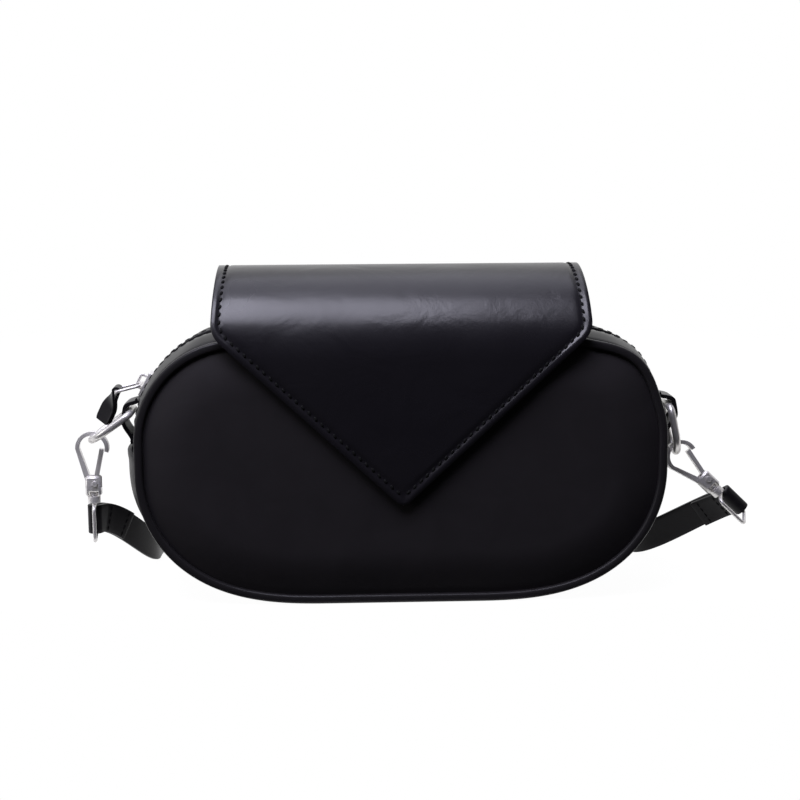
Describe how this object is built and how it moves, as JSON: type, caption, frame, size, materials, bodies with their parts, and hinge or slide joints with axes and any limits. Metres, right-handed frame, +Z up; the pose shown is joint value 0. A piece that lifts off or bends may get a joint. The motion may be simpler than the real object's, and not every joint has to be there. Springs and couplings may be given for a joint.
{
  "type": "oval shoulder bag",
  "caption": "Oval padded leather shoulder bag with a pointed envelope flap, a zipped top and a strap clipped to side rings.",
  "frame": {"origin": "centre of the flat base, on its underside", "axes": "+Z up, the flap's point faces -Y, +X to the right as seen from the front"},
  "size_m": [0.2785, 0.1872, 0.1326],
  "materials": {
    "leather": "satin",
    "suede": "matte",
    "lining": "matte",
    "board": "matte",
    "zip_tape": "matte",
    "zip_teeth": "matte",
    "metal": "polished",
    "magnet": "satin"
  },
  "bodies": {
    "bag": {"panel_front": "leather", "panel_back": "leather", "piping_front": "leather", "piping_back": "leather", "gusset_lower": "leather", "gusset_top_front": "leather", "gusset_top_back": "leather", "board_front": "board", "board_back": "board", "lining": "lining", "body_magnet": "magnet", "zip_tape_front": "zip_tape", "zip_tape_back": "zip_tape", "zip_teeth_front": "zip_teeth", "zip_teeth_back": "zip_teeth", "zip_stop": "metal", "tab_left": "leather", "tab_right": "leather", "strap": "leather"},
    "flap": {"flap_outer": "leather", "flap_lining": "suede", "flap_magnet": "magnet"},
    "slider": {"zip_slider": "metal"},
    "pull": {"zip_pull_link": "metal", "zip_pull_tongue": "leather"},
    "hanger_left": {"d_ring_left": "metal", "swivel_eye_left": "metal"},
    "hook_left_body": {"hook_left": "metal", "gate_pin_left": "metal"},
    "gate_left_body": {"gate_left": "metal"},
    "hanger_right": {"d_ring_right": "metal", "swivel_eye_right": "metal"},
    "hook_right_body": {"hook_right": "metal", "gate_pin_right": "metal"},
    "gate_right_body": {"gate_right": "metal"}
  },
  "joints": [
    {"name": "flap_hinge", "type": "hinge", "parent": "bag", "child": "flap", "pos_m": [0, 0.0334, 0.09], "axis": [-1, 0, 0], "range_deg": [0, 150]},
    {"name": "zip_slide", "type": "hinge", "parent": "bag", "child": "slider", "pos_m": [-0.064, 0, 0.065], "axis": [0, 1, 0], "range_deg": [0, 62], "deforming": ["zip_teeth_front", "zip_teeth_back"]},
    {"name": "zip_pull_swing", "type": "hinge", "parent": "slider", "child": "pull", "pos_m": [-0.10483, 0, 0.08501], "axis": [0, 1, 0], "range_deg": [0, 110]},
    {"name": "ring_swing_left", "type": "hinge", "parent": "bag", "child": "hanger_left", "pos_m": [-0.10882, 0, 0.07392], "axis": [0, 1, 0], "range_deg": [-20, 90], "deforming": ["strap"]},
    {"name": "ring_swing_right", "type": "hinge", "parent": "bag", "child": "hanger_right", "pos_m": [0.1098, 0, 0.07411], "axis": [0, -1, 0], "range_deg": [-4, 90], "deforming": ["strap"]},
    {"name": "hook_swivel_left", "type": "hinge", "parent": "hanger_left", "child": "hook_left_body", "pos_m": [-0.12521, 0, 0.03625], "axis": [0, 0, 1], "range_deg": [-20, 20]},
    {"name": "hook_swivel_right", "type": "hinge", "parent": "hanger_right", "child": "hook_right_body", "pos_m": [0.13281, 0, 0.03635], "axis": [-0.7193, 0, 0.6947], "range_deg": [-30, 8]},
    {"name": "gate_hinge_left", "type": "hinge", "parent": "hook_left_body", "child": "gate_left_body", "pos_m": [-0.12445, 0, 0.04445], "axis": [0, -1, 0], "range_deg": [0, 20], "stiffness_Nm_per_rad": 0.002, "springref_deg": -20.05},
    {"name": "gate_hinge_right", "type": "hinge", "parent": "hook_right_body", "child": "gate_right_body", "pos_m": [0.12742, 0.00016, 0.04257], "axis": [0.1444, -0.9781, 0.1496], "range_deg": [0, 20], "stiffness_Nm_per_rad": 0.002, "springref_deg": -20.05}
  ]
}
